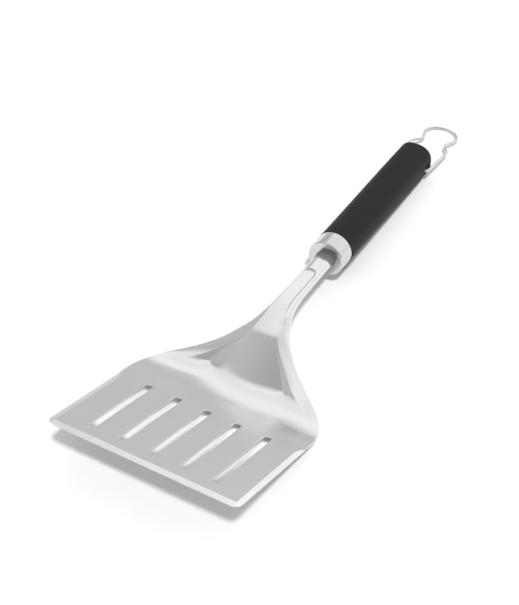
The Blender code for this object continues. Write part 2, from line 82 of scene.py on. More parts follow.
BACK_POWER = (2.0, 2.9)               # from the first of these to the second
BACK_FLATNESS = (1.0, 0.38)
SCOOP_BLEND = (116 * MM, 140 * MM)    # the floor's level lines bend more and more to the rear
SCOOP_BEND = (3.5, 7.5)               # from the first of these to the second, in 1/m
WALL_COLUMNS = (128 * MM, 140 * MM)   # the mesh's columns gather at the wall of the recess
OPEN_COLUMNS = (0.38, 0.62)           # and ahead of it they lie at these shares of the half width
BLUR = 0.9 * MM                # softens the stations into an even, pressed surface

# Distance from the front edge, half width, height of the sheet's edge, fall of the band towards
# it, height of the floor over the middle.
HEAD_STATIONS = np.array((
    (0.000, 0.0700, 0.0000, 0.00, 0.0000),
    (0.096, 0.0700, 0.0000, 0.00, 0.0000),
    (0.106, 0.0699, 0.0001, 0.00, 0.0000),
    (0.112, 0.0693, 0.0001, 0.00, 0.0002),
    (0.116, 0.0684, 0.0003, 0.00, 0.0006),
    (0.120, 0.0672, 0.0007, 0.00, 0.0012),
    (0.124, 0.0655, 0.0013, 0.00, 0.0022),
    (0.128, 0.0635, 0.0022, 0.02, 0.0036),
    (0.131, 0.0615, 0.0031, 0.05, 0.0051),
    (0.133, 0.0598, 0.0038, 0.08, 0.0067),
    (0.136, 0.0566, 0.0051, 0.13, 0.0100),
    (0.140, 0.0513, 0.0073, 0.21, 0.0149),
    (0.143, 0.0460, 0.0100, 0.28, 0.0188),
    (0.146, 0.0405, 0.0132, 0.36, 0.0225),
    (0.152, 0.0291, 0.0212, 0.50, 0.0298),
    (0.1565, 0.0226, 0.0273, 0.57, 0.0352),
    (0.158, 0.0208, 0.0292, 0.60, 0.0366),
    (0.164, 0.0156, 0.0352, 0.70, 0.0418),
    (0.170, 0.0121, 0.0395, 0.70, 0.0467),
    (0.176, 0.0101, 0.0424, 0.70, 0.0497),
    (0.184, 0.0087, 0.0458, 0.70, 0.0525),
    (0.196, 0.0078, 0.0501, 0.70, 0.0558),
    (0.212, 0.0075, 0.0549, 0.70, 0.0603),
    (0.236, 0.0075, 0.0619, 0.70, 0.0678),
))

# Distance from the front edge, half width at the top of the recess's wall, depth, width of the
# wall.
RECESS_STATIONS = np.array((
    (0.000, 0.0690, 0.0000, 0.0600),
    (0.120, 0.0670, 0.0000, 0.0580),
    (0.128, 0.0620, 0.0000, 0.0520),
    (0.1330, 0.0540, 0.0000, 0.0380),
    (0.1360, 0.0450, 0.0004, 0.0240),
    (0.1385, 0.0375, 0.0014, 0.0110),
    (0.1405, 0.0335, 0.0021, 0.0060),
    (0.1425, 0.0302, 0.0022, 0.0050),
    (0.146, 0.0247, 0.0020, 0.0045),
    (0.151, 0.0172, 0.0018, 0.0035),
    (0.157, 0.0108, 0.0016, 0.0026),
    (0.163, 0.0086, 0.0015, 0.0018),
    (0.170, 0.0071, 0.0014, 0.0016),
    (0.184, 0.0054, 0.0014, 0.0016),
    (0.192, 0.0052, 0.0014, 0.0016),
    (0.205, 0.0051, 0.0014, 0.0016),
    (0.224, 0.0050, 0.0014, 0.0016),
))

# ---------------------------------------------------------------- the handle, in metres
HANDLE_START = (239.3 * MM, 65.1 * MM)    # Y and Z of the collar's front face on the axis
HANDLE_SLOPE = math.radians(16.1)
SHAFT_END = -5.6 * MM           # the shaft stops this far before the collar's face
GAP = 0.3 * MM                  # between neighbouring pieces
FERRULE_HALF = (7.0 * MM, 4.7 * MM, 4.1 * MM)    # half width, height above and below the axis
FERRULE_POWER = 2.6             # its section is a superellipse with this exponent
FERRULE_DEPTH = 8.5 * MM        # how far it reaches behind the collar's face
FERRULE_GROOVE = 2.3 * MM       # from the shaft's end to the middle of the ring groove
FERRULE_SPIGOT = 6.0 * MM       # length of its spigot inside the shaft
FERRULE_STEP = 2.4 * MM         # how much slimmer the spigot is, all round
COLLAR_RADIUS = 13.65 * MM
COLLAR_LENGTH = 14.7 * MM
COLLAR_WALL = 2.5 * MM
COLLAR_BORE = 11.5 * MM
GRIP_FRONT_RADIUS = 13.9 * MM
GRIP_REAR_RADIUS = 13.2 * MM
GRIP_SQUARENESS = 0.6           # how much squarer than a circle the grip is at its rear
GRIP_RINGS = 24                 # along its length
GRIP_END = 150.9 * MM
SLEEVE_BORE = 10.7 * MM
PLUG_THICKNESS = 4.0 * MM
PIVOT = (139.6 * MM, -0.6 * MM)    # Y and Z of the loop's pivot in the handle's frame
NOTCH_FRONT = 1.7 * MM          # the notch reaches this far before the pivot
NOTCH_REAR = 7.5 * MM           # and its ramp ends this far behind it
NOTCH_DEPTH = 2.3 * MM

# ---------------------------------------------------------------- the loop, in metres
WIRE_RADIUS = 1.1 * MM
LOOP_DROOP = math.radians(6.25)
LOOP_HOLE_DEPTH = 8.5 * MM
LOOP_HALF = np.array((
    (0.01290, 0.0000),
    (0.01420, 0.0006),
    (0.01475, 0.0022),
    (0.01490, 0.0060),
    (0.01520, 0.0180),
    (0.01540, 0.0300),
    (0.01510, 0.0358),
    (0.01320, 0.0396),
    (0.01085, 0.0424),
    (0.00985, 0.0457),
    (0.01060, 0.0500),
    (0.01230, 0.0548),
    (0.01290, 0.0595),
    (0.01180, 0.0637),
    (0.00930, 0.0672),
    (0.00520, 0.0697),
    (0.00000, 0.0706),
))

# ---------------------------------------------------------------- looks and the studio
SATIN_ROUGH = (0.12, 0.15)
FLAT_ROUGHER = 0.07             # the blade's flat is rougher than the neck, up to the bend
FLAT_END = (-122.3 * MM, -109.3 * MM)    # the bend, along the tool from the middle of its length
CAMERA_TARGET = Vector((-29.12, -23.5, 0.0)) * MM
CAMERA_DISTANCE = 1.2919
CAMERA_AZIMUTH = math.radians(27.72)
CAMERA_ELEVATION = math.radians(43.26)
CAMERA_ROLL = math.radians(2.58)
LENS = 125.83
SENSOR = 36.0
KEY_RUN = (0.32, 0.467)         # how far its light comes from the right and front, per height
KEY_STRENGTH = 2.55
KEY_ANGLE = math.radians(6)
FILL_PLACE = (-13.0 * MM, -160.5 * MM, 2.0 * MM)    # the middle one of the lamps, over the floor
FILL_SIZE = (5.5 * MM, 46 * MM)
FILL_TURN = math.radians(-15)
FILL_POWER = 0.00075
FLOOR_HALF_SIZE = 6.0
WORLD_LEVEL = 0.84
ROOM = (0.56, 0.73)             # brightness in front of the tool and behind it
ROOM_CORNER = 0.16              # added at the front left
PANEL_SLANT = 1.2               # the panel's lower edge falls this much to the right
PANEL_EDGES = ((0.40, -0.09, -0.04), (0.17, -0.01, 0.03))    # brightness, start, full
PANEL_TOP = ((-0.13, 0.62, 0.80), (0.12, 0.88, 0.97))        # the same, by height
PANEL_AHEAD = (-0.26, -0.17)    # the panel starts here, from front to back
PANEL_FADE = (0.15, 0.65)       # and fades in between these, along the way below
PANEL_WAY = (-0.342, 0.94, 0.6)    # this way it grows brighter: a little left, back and up


# ---------------------------------------------------------------- frames
def find_frames():
    """World matrices of the tool's, the handle's and the loop's frames."""
    top = next(m for m in frame["record"]["mounts"] if m["name"] == "blade_top")
    across, spot = Vector(top["axis"]), Vector(top["pos_m"])
    tilt = math.atan2(across.y, across.z)
    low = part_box("blade_head")[0]
    start_y = low.y + math.sin(tilt) * SHEET
    start_z = spot.z + (spot.y - start_y) * across.y / across.z
    tool_frame = Matrix.Translation((0, start_y, start_z)) @ Matrix.Rotation(-tilt, 4, "X")
    handle_frame = tool_frame @ Matrix.Translation((0, *HANDLE_START))
    handle_frame = handle_frame @ Matrix.Rotation(HANDLE_SLOPE, 4, "X")
    pivot = Vector(frame["joints"][0]["pos_m"])
    turn = -tilt + HANDLE_SLOPE - LOOP_DROOP
    loop_frame = Matrix.Translation(pivot) @ Matrix.Rotation(turn, 4, "X")
    return tilt, tool_frame, handle_frame, loop_frame


tilt, tool_frame, handle_frame, loop_frame = find_frames()


# ---------------------------------------------------------------- mesh helpers
def finish_piece(name, bm, place, body, nodes, materials, sharp=SHARP_ANGLE):
    """Turn a bmesh drawn in one of the frames into a piece that rides on a body."""
    bmesh.ops.recalc_face_normals(bm, faces=bm.faces)
    mesh = bpy.data.meshes.new(name)
    bm.to_mesh(mesh)
    bm.free()
    piece = bpy.data.objects.new(name, mesh)
    bpy.context.scene.collection.objects.link(piece)
    for material in materials:
        mesh.materials.append(material)
    mesh.shade_smooth()
    mesh.set_sharp_from_angle(angle=sharp)
    mesh.transform(place)
    if body:
        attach(piece, body)
        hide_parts(*nodes)
    return piece


def draft(name, bm, materials=()):
    """A body that is still in its drawing frame, to be cut or to cut with."""
    return finish_piece(name, bm, Matrix.Identity(4), None, (), materials)


def even_normals(piece):
    """Shade flat faces flat, right up to their rounded rims."""
    weighted = piece.modifiers.new("even_normals", "WEIGHTED_NORMAL")
    weighted.keep_sharp = True


def subtract(piece, cutters):
    """Cut bodies out of a piece, for good."""
    for cutter in cutters:
        modifier = piece.modifiers.new("cut", "BOOLEAN")
        modifier.operation = "DIFFERENCE"
        modifier.solver = "EXACT"
        modifier.object = cutter
    graph = bpy.context.evaluated_depsgraph_get()
    mesh = bpy.data.meshes.new_from_object(piece.evaluated_get(graph))
    piece.modifiers.clear()
    piece.data = mesh
    for cutter in cutters:
        bpy.data.objects.remove(cutter)


def finish_cut_piece(piece, place, node):
    """Shade and place a piece after its cuts, and let it ride on the tool."""
    mesh = piece.data
    mesh.shade_smooth()
    mesh.set_sharp_from_angle(angle=SHARP_ANGLE)
    mesh.transform(place)
    even_normals(piece)
    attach(piece, "tool")
    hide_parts(node)


def loft(rings, closed=False):
    """Skin a list of rings of equal length, into a bmesh."""
    bm = bmesh.new()
    made = [[bm.verts.new(point) for point in ring] for ring in rings]
    count = len(made[0])
    pairs = list(zip(made, made[1:]))
    if closed:
        pairs.append((made[-1], made[0]))
    for low, high in pairs:
        for i in range(count):
            j = (i + 1) % count
            bm.faces.new((low[i], low[j], high[j], high[i]))
    if not closed:
        bm.faces.new(made[0][::-1])
        bm.faces.new(made[-1])
    return bm


def lathe_rings(profile, segments, reach=lambda along, radius, angle: radius):
    """Rings about the Y axis for a profile of (distance along Y, radius)."""
    turns = np.linspace(0, 2 * math.pi, segments, endpoint=False)
    rings = []
    for y, r in profile:
        out = [reach(y, r, a) for a in turns]
        rings.append([(r * math.cos(a), y, r * math.sin(a)) for r, a in zip(out, turns)])
    return rings


def arc(center, radius, start, end, steps):
    """Points of an arc in a profile, in degrees from +Y towards larger radius."""
    angles = np.radians(np.linspace(start, end, steps))
    return [(center[0] + radius * math.cos(a), center[1] + radius * math.sin(a)) for a in angles]


def oval(half_width, up, down, y, count=96):
    """A superellipse ring across the handle's axis, flatter below than above."""
    ring, power = [], FERRULE_POWER
    for angle in np.linspace(0, 2 * math.pi, count, endpoint=False):
        c, s = math.cos(angle), math.sin(angle)
        x = half_width * math.copysign(abs(c) ** (2 / power), c)
        z = (up if s > 0 else down) * math.copysign(abs(s) ** (2 / power), s)
        ring.append((x, y, z))
    return ring


def ease(value):
    """0 below 0, 1 above 1, and a smooth step between."""
    value = np.clip(value, 0.0, 1.0)
    return value * value * (3 - 2 * value)


def cubic_through(stations, at):
    """Monotone cubic through rows of (position, values), read at an array of positions."""
    place, values = stations[:, 0], stations[:, 1:]
    step = np.diff(place)[:, None]
    slope = np.diff(values, axis=0) / step
    tangent = np.zeros_like(values)
    before, after = slope[:-1], slope[1:]
    weight_a, weight_b = 2 * step[1:] + step[:-1], step[1:] + 2 * step[:-1]
    same_way = before * after > 0
    safe_before = np.where(same_way, before, 1.0)
    safe_after = np.where(same_way, after, 1.0)
    mean = (weight_a + weight_b) / (weight_a / safe_before + weight_b / safe_after)
    tangent[1:-1] = np.where(same_way, mean, 0.0)
    tangent[0], tangent[-1] = slope[0], slope[-1]
    at = np.clip(at, place[0], place[-1])
    i = np.clip(np.searchsorted(place, at, side="right") - 1, 0, len(step) - 1)
    t = ((at - place[i]) / step[i, 0])[:, None]
    return (
        values[i] * (1 + 2 * t) * (1 - t) ** 2
        + tangent[i] * step[i] * t * (1 - t) ** 2
        + values[i + 1] * t * t * (3 - 2 * t)
        + tangent[i + 1] * step[i] * t * t * (t - 1)
    )


class Stations:
    """The rows of a station list as smooth curves along the tool."""

    def __init__(self, stations, blur):
        step = 0.4 * MM
        margin = int(4 * blur / step)
        start, end = stations[0, 0], stations[-1, 0]
        self.place = np.arange(start, end + step / 2, step)
        wide = start + step * np.arange(-margin, len(self.place) + margin)
        values = cubic_through(stations, wide)
        first, last = values[margin], values[-margin - 1]
        slope = (last - values[-margin - 6]) / 5
        values[-margin:] = last + slope * np.arange(1, margin + 1)[:, None]
        values[:margin] = first
        kernel = np.exp(-0.5 * (step * np.arange(-margin, margin + 1) / blur) ** 2)
        kernel /= kernel.sum()
        columns = [np.convolve(column, kernel, mode="valid") for column in values.T]
        self.values = np.array(columns)

    def __call__(self, y):
        return [np.interp(y, self.place, column) for column in self.values]


# ---------------------------------------------------------------- the pressed head
head_curves = Stations(HEAD_STATIONS, BLUR)
recess_curves = Stations(RECESS_STATIONS, BLUR)


def half_width(y):
    """Half width of the head's outline, with the front corners rounded."""
    back = np.clip(CORNER_RADIUS - y, 0, CORNER_RADIUS)
    return head_curves(y)[0] + np.sqrt(CORNER_RADIUS ** 2 - back ** 2) - CORNER_RADIUS


def side_bevel(y):
    """Width of the ground bevel along the sides, which runs out in a round."""
    past = np.clip((y - SIDE_BEVEL_END) / SIDE_BEVEL_RUNOUT, 0, 1)
    return SIDE_BEVEL * np.sqrt(1 - past ** 2)


def blend(y, span):
    """0 before a stretch of the head and 1 behind it."""
    return ease((y - span[0]) / (span[1] - span[0]))


def between(span, share):
    """From the first value of a span to the second, as a share goes from 0 to 1."""
    return span[0] + (span[1] - span[0]) * share


def recess_share(x, y):
    """1 on the floor of the recess, 0 outside it, closing in a round at its rear end."""
    border, _, wall = recess_curves(y)
    into_end = np.clip(y - (RECESS_END - border), 0, border)
    border = np.sqrt(np.maximum(border ** 2 - into_end ** 2, 0))
    return (1 - ease((np.abs(x) - border + wall) / wall)) * (y < RECESS_END)


def crown_height(x, y, width):
    """Height of the sheet's top face without the step of its recess and its bevels."""
    _, edge, lean, floor = head_curves(y)
    border, depth, _ = recess_curves(y)
    far = np.abs(x)
    inner = np.minimum(border, width)
    inside = np.minimum(far, inner)
    band = width - np.maximum(far, inner) + (inner ** 2 - inside ** 2) / (2 * inner)
    band = edge + lean * band
    to_shaft = blend(y, BACK_BLEND)
    power, flatness = between(BACK_POWER, to_shaft), between(BACK_FLATNESS, to_shaft)
    part = np.clip(far / width, 0, 1)
    back = edge + (floor + depth - edge) * (1 - part ** power) ** flatness
    around = band + blend(y, SHAFT_BLEND) * (back - band)
    bend = between(SCOOP_BEND, blend(y, SCOOP_BLEND))
    scoop = head_curves(y - bend * x * x)[3] + depth
    return around + recess_share(x, y) * (scoop - around)


def recess_drop(x, y):
    """How far the recess lowers the top face."""
    return recess_curves(y)[1] * recess_share(x, y)


def grind_drop(x, y, width):
    """How far the ground bevels lower the top face."""
    front = (FRONT_BEVEL - y) / FRONT_BEVEL
    side = (side_bevel(y) - (width - np.abs(x))) / SIDE_BEVEL
    return (SHEET - EDGE_SHEET) * np.maximum(np.maximum(front, side), 0)


def row_places():
    """Distances from the front edge at which the sheet is sampled."""
    hold = 0.08 * MM
    rounding = RIM_ROUND * (1 - np.cos(np.radians([0, 22, 45, 68, 90])))
    corner = CORNER_RADIUS * (1 - np.cos(np.radians(np.arange(28, 91, 7))))
    bevel = [FRONT_BEVEL - hold, FRONT_BEVEL, FRONT_BEVEL + hold, 7 * MM]
    blade = np.arange(12 * MM, SIDE_BEVEL_END - MM, 8 * MM)
    runout = SIDE_BEVEL_END + SIDE_BEVEL_RUNOUT * np.sin(np.radians(np.arange(0, 91, 6)))
    neck = np.arange(NECK_START, RECESS_END - 6 * MM, 0.75 * MM)
    recess_end = RECESS_END - 5 * MM * (1 - np.sin(np.radians(np.arange(0, 91, 7.5))))
    last = HANDLE_START[0] + SHAFT_END * math.cos(HANDLE_SLOPE)
    shaft = np.arange(RECESS_END + 0.2 * MM, last - MM, 1.2 * MM)
    front = np.sort(np.concatenate([corner, bevel]))
    return np.concatenate([rounding, front, blade, runout, neck, recess_end, shaft,
                           last - rounding[::-1]])


def column_places(y, width):
    """Places across half of every row: floor, recess wall, band and ground bevel."""
    strip = np.maximum(side_bevel(y), 0.8 * MM)
    inner = width - strip
    border, _, wall = recess_curves(y)
    to_wall = blend(y, WALL_COLUMNS)
    far = np.minimum(border + 0.1 * wall, inner - 0.5 * MM)
    far = between((OPEN_COLUMNS[1] * inner, far), to_wall)
    near = between((OPEN_COLUMNS[0] * inner, border - 1.1 * wall), to_wall)
    hold = 0.06 * MM
    floor = [near * f for f in np.linspace(0, 1, 18, endpoint=False)]
    wall = [near + (far - near) * f for f in np.linspace(0, 1, 15)]
    band = [far + (inner - hold - far) * math.sin(f) for f in np.linspace(0, math.pi / 2, 18)[1:]]
    ground = [inner + (strip - RIM_ROUND) * math.sin(f) for f in np.linspace(0, math.pi / 2, 12)]
    return np.array(floor + wall + band + ground).T


def head_surfaces():
    """Grids of points on the top face and on the underside, which lies a sheet's thickness below it along each
    point's way up.
    """
    y = row_places()
    width = half_width(y)
    half = column_places(y, width)
    x = np.concatenate([-half[:, :0:-1], half], axis=1)
    rows, wide = np.repeat(y[:, None], x.shape[1], 1), np.repeat(width[:, None], x.shape[1], 1)
    step = 0.02 * MM
    shape = x.shape

    def crown(px, py, pw):
        return crown_height(px.ravel(), py.ravel(), pw.ravel()).reshape(shape)

    level = crown(x, rows, wide)
    inner_x = x - np.sign(x) * step
    run = np.sign(x) * step + (x == 0)
    slope_x = np.where(x == 0, 0, (level - crown(inner_x, rows, wide)) / run)
    ahead_width = np.repeat(half_width(y + step)[:, None], shape[1], 1)
    slope_y = (crown(x * ahead_width / wide, rows + step, ahead_width) - level) / step
    slope_y = np.where(rows > 90 * MM, slope_y, 0)
    up = np.stack([-slope_x, -slope_y, np.ones(shape)], axis=-1)
    up /= np.linalg.norm(up, axis=-1, keepdims=True)
    grind = grind_drop(x, rows, wide)
    top = np.stack([x, rows, level - grind], axis=-1)
    top[..., 2] -= recess_drop(x.ravel(), rows.ravel()).reshape(shape)
    last = y[-1]
    to_end = np.clip(np.minimum(rows, last - rows), 0, RIM_ROUND)
    inset = RIM_ROUND - np.sqrt(RIM_ROUND ** 2 - (RIM_ROUND - to_end) ** 2)
    under = top - up * (SHEET - grind - inset)[..., None]
    top -= up * inset[..., None]
    axis_slope = math.tan(HANDLE_SLOPE)
    axis_z = HANDLE_START[1] + (rows - HANDLE_START[0]) * axis_slope
    square = ease((rows - SHAFT_START) / (SHAFT_SQUARE - SHAFT_START))
    for points in (top, under):
        across_shaft = rows - axis_slope * (points[..., 2] - axis_z)
        points[..., 1] += square * (across_shaft - points[..., 1])
    return top, under


def rim_points(top_edge, top_inner, under_edge):
    """Rounded rim from a top edge to the underside's edge, in one row."""
    thick = top_edge - under_edge
    up = thick / np.linalg.norm(thick)
    out = top_edge - top_inner
    out -= up * (out @ up)
    out /= np.linalg.norm(out)
    turns = np.radians((0, 22.5, 45, 67.5, 90))
    steps = [(math.sin(a) * out, (1 - math.cos(a)) * up) for a in turns]
    round_top = [top_edge + RIM_ROUND * (aside - along) for aside, along in steps]
    round_low = [under_edge + RIM_ROUND * (aside + along) for aside, along in steps]
    return round_top, round_low[::-1]


def head_rings():
    """Closed rings across the sheet: over the top face, round the rim and back underneath."""
    top, under = head_surfaces()
    rings = []
    for over, below in zip(top, under):
        right_top, right_low = rim_points(over[-1], over[-2], below[-1])
        left_top, left_low = rim_points(over[0], over[1], below[0])
        ring = list(over[1:-1]) + right_top + right_low + list(below[-2:0:-1])
        rings.append(ring + left_low[::-1] + left_top[::-1])
    return rings


def slot_ring(center_x, z, radius):
    """A long hole with round ends at one height."""
    half = SLOT_WIDTH / 2
    ring = []
    for end_y, start in ((SLOT_REAR - half, 0), (SLOT_FRONT + half, math.pi)):
        for angle in np.linspace(start, start + math.pi, SLOT_END_POINTS):
            ring.append((center_x + radius * math.cos(angle), end_y + radius * math.sin(angle), z))
    return ring


def slot_cutter(center_x):
    """The hole and its rounded rims, as a body to subtract."""
    rings = [(2 * SLOT_RIM, 5 * SLOT_RIM)]
    for angle in np.radians((4, 22.5, 45, 67.5, 90)):
        rings.append((SLOT_RIM * (1 - math.sin(angle)), -SLOT_RIM * (1 - math.cos(angle))))
    rings[1] = (SLOT_RIM, 0.01 * MM)
    rings += [(out, -SHEET - z) for out, z in rings[::-1]]
    half = SLOT_WIDTH / 2
    return loft([slot_ring(center_x, z, half + out) for out, z in rings])


def slot_place(i):
    """How far from the blade's middle line a slot lies."""
    return (i - (SLOT_COUNT - 1) / 2) * SLOT_PITCH


def make_blade(materials):
    blade = draft("blade", loft(head_rings()), materials)
    cutters = [draft(f"cutter_{i}", slot_cutter(slot_place(i))) for i in range(SLOT_COUNT)]
    subtract(blade, cutters)
    mark_ground_faces(blade.data)
    finish_cut_piece(blade, tool_frame, "blade_head")


def mark_ground_faces(mesh):
    """Give the ground bevels and the cut edges the second material."""
    for face in mesh.polygons:
        x, y, _ = face.center
        row = np.array([y])
        width = float(half_width(row)[0])
        on_front = y < FRONT_BEVEL
        beside = width - abs(x) < side_bevel(row)[0]
        on_side = y < SIDE_BEVEL_END + SIDE_BEVEL_RUNOUT and beside
        sloping = abs(face.normal.z) < 0.9999
        face.material_index = int((on_front or on_side) and sloping)


# ---------------------------------------------------------------- the handle's pieces
def make_ferrule(material):
    half, up, down = FERRULE_HALF
    front = SHAFT_END + GAP
    groove = SHAFT_END + FERRULE_GROOVE
    fillet, cut = 0.5 * MM, 0.4 * MM
    shrinks = [(front - FERRULE_SPIGOT, FERRULE_STEP), (front, FERRULE_STEP)]
    for angle in np.radians(np.linspace(0, 90, 6)):
        shrinks.append((front + fillet * (1 - math.cos(angle)), fillet * (1 - math.sin(angle))))
    for angle in np.radians(np.linspace(0, 180, 9)):
        shrinks.append((groove - cut * math.cos(angle), cut * math.sin(angle)))
    shrinks.append((FERRULE_DEPTH, 0.0))
    rings = [oval(half - s, up - s, down - min(s, 1.2 * MM), y) for y, s in shrinks]
    finish_piece("ferrule_nose", loft(rings), handle_frame, "tool", ["ferrule"],
                 [material])


def make_collar(material):
    segments, rim = 160, 1.0 * MM
    half, up, down = (value + 0.2 * MM for value in FERRULE_HALF)
    lip = 0.25 * MM
    rings = [oval(half + lip, up + lip, down + lip, 0.0, segments)]
    for angle in np.radians((30, 60, 90)):
        grow, y = lip * (1 - math.sin(angle)), lip * (1 - math.cos(angle))
        rings.append(oval(half + grow, up + grow, down + grow, y, segments))
    rings.append(oval(half, up, down, COLLAR_WALL, segments))
    profile = [(COLLAR_WALL, COLLAR_BORE), (COLLAR_LENGTH, COLLAR_BORE)]
    profile += arc((COLLAR_LENGTH - 0.3 * MM, COLLAR_RADIUS - 0.3 * MM), 0.3 * MM, 0, 90, 4)
    profile += [(COLLAR_LENGTH * 0.5, COLLAR_RADIUS)]
    profile += arc((rim, COLLAR_RADIUS - rim), rim, 90, 180, 9)
    profile += [(0.0, COLLAR_RADIUS - 1.6 * rim)]
    rings += lathe_rings(profile, segments)
    collar = finish_piece("collar_cup", loft(rings, closed=True), handle_frame, "tool", ["collar"],
                          [material])
    even_normals(collar)


def grip_reach(along, radius, angle):
    """Radius of the grip, whose outside turns from round at the collar to slightly square."""
    outside = min(max((radius - SLEEVE_BORE) / (GRIP_REAR_RADIUS - SLEEVE_BORE), 0.0), 1.0)
    power = 2.0 + GRIP_SQUARENESS * float(blend(along, (COLLAR_LENGTH, GRIP_END)))
    swell = (abs(math.cos(angle)) ** power + abs(math.sin(angle)) ** power) ** (-1 / power)
    return radius * (1 + outside * (swell - 1))


def make_sleeve(material):
    front = COLLAR_LENGTH + GAP
    edge, end_round = 0.5 * MM, 2.0 * MM
    profile = [(front, SLEEVE_BORE + 1.0 * MM)]
    profile += arc((front + edge, GRIP_FRONT_RADIUS - edge), edge, 180, 90, 6)
    center = (GRIP_END - end_round, GRIP_REAR_RADIUS - end_round)
    places = np.linspace(profile[-1][0], center[0], GRIP_RINGS, endpoint=False)[1:]
    radii = np.linspace(profile[-1][1], GRIP_REAR_RADIUS, GRIP_RINGS, endpoint=False)[1:]
    profile += [(float(y), float(r)) for y, r in zip(places, radii)]
    profile += arc(center, end_round, 90, 0, 12)
    profile += arc((GRIP_END - 0.4 * MM, SLEEVE_BORE + 0.4 * MM), 0.4 * MM, 0, -90, 5)
    profile += [(front + 1.5 * MM, SLEEVE_BORE)]
    skin = loft(lathe_rings(profile, 192, grip_reach), closed=True)
    sleeve = draft("grip_skin", skin, [material])
    cutters = [notch_cutter(side) for side in (1, -1)]
    turns = np.linspace(0, 2 * math.pi, 24, endpoint=False)
    hole = WIRE_RADIUS + GAP
    rings = [[(x, PIVOT[0] + hole * math.cos(a), PIVOT[1] + hole * math.sin(a)) for a in turns]
             for x in (-20 * MM, 20 * MM)]
    cutters.append(draft("cutter_hole", loft(rings)))
    subtract(sleeve, cutters)
    finish_cut_piece(sleeve, handle_frame, "grip_sleeve")


def notch_cutter(side):
    """The ramped notch in the grip's side that the loop's wire comes out of."""
    notch_front, notch_rear = PIVOT[0] - NOTCH_FRONT, PIVOT[0] + NOTCH_REAR
    deep = GRIP_REAR_RADIUS - NOTCH_DEPTH
    outline = [
        (side * deep, notch_front),
        (side * 18 * MM, notch_front),
        (side * 18 * MM, notch_rear + 9 * MM),
        (side * (GRIP_REAR_RADIUS - 0.1 * MM), notch_rear),
        (side * deep, notch_front + 3.4 * MM),
    ]
    rings = [[(x, y, z) for x, y in outline] for z in (-16 * MM, 3.4 * MM)]
    return draft(f"cutter_notch_{side}", loft(rings))


def make_plug(material):
    radius = SLEEVE_BORE - GAP
    front, rear = GRIP_END - PLUG_THICKNESS, GRIP_END - 0.6 * MM
    profile = [(front, 0.5 * radius), (front, radius)]
    profile += arc((rear - 0.6 * MM, radius - 0.6 * MM), 0.6 * MM, 90, 0, 5)
    for f in (0.85, 0.6, 0.35, 0.1):
        profile.append((rear + 0.3 * MM * (1 - f * f), f * radius))
    finish_piece("grip_plug", loft(lathe_rings(profile, 96)), handle_frame, "tool", ["end_plug"],
                 [material])


def loop_path():
    """Centre line of the bent wire, as a smooth curve through its points."""
    whole = np.vstack([LOOP_HALF, (LOOP_HALF * (-1, 1))[-2::-1]])
    ends = np.array([[LOOP_HOLE_DEPTH, 0.0], [-LOOP_HOLE_DEPTH, 0.0]])
    points = [ends[0]]
    for i in range(len(whole) - 1):
        p0, p1 = whole[max(i - 1, 0)], whole[i]
        p2, p3 = whole[i + 1], whole[min(i + 2, len(whole) - 1)]
        for t in np.linspace(0, 1, 8, endpoint=False):
            a, b = 2 * p1, (p2 - p0) * t
            c = (2 * p0 - 5 * p1 + 4 * p2 - p3) * t * t
            d = (3 * p1 - p0 - 3 * p2 + p3) * t ** 3
            points.append(0.5 * (a + b + c + d))
    points += [whole[-1], ends[1]]
    return np.array([(x, y, 0.0) for x, y in points])


def make_loop(material):
    path, sides = loop_path(), 24
    rings = []
    for i, point in enumerate(path):
        along = path[min(i + 1, len(path) - 1)] - path[max(i - 1, 0)]
        along /= np.linalg.norm(along)
        aside = np.array((-along[1], along[0], 0.0))
        turns = 2 * math.pi * (np.arange(sides) + 0.5) / sides
        ring = [point + WIRE_RADIUS * (math.cos(a) * aside + np.array((0, 0, math.sin(a))))
                for a in turns]
        rings.append(ring)
    finish_piece("hanging_wire", loft(rings), loop_frame, "loop", ["hang_loop"],
                 [material], sharp=2 * SHARP_ANGLE)


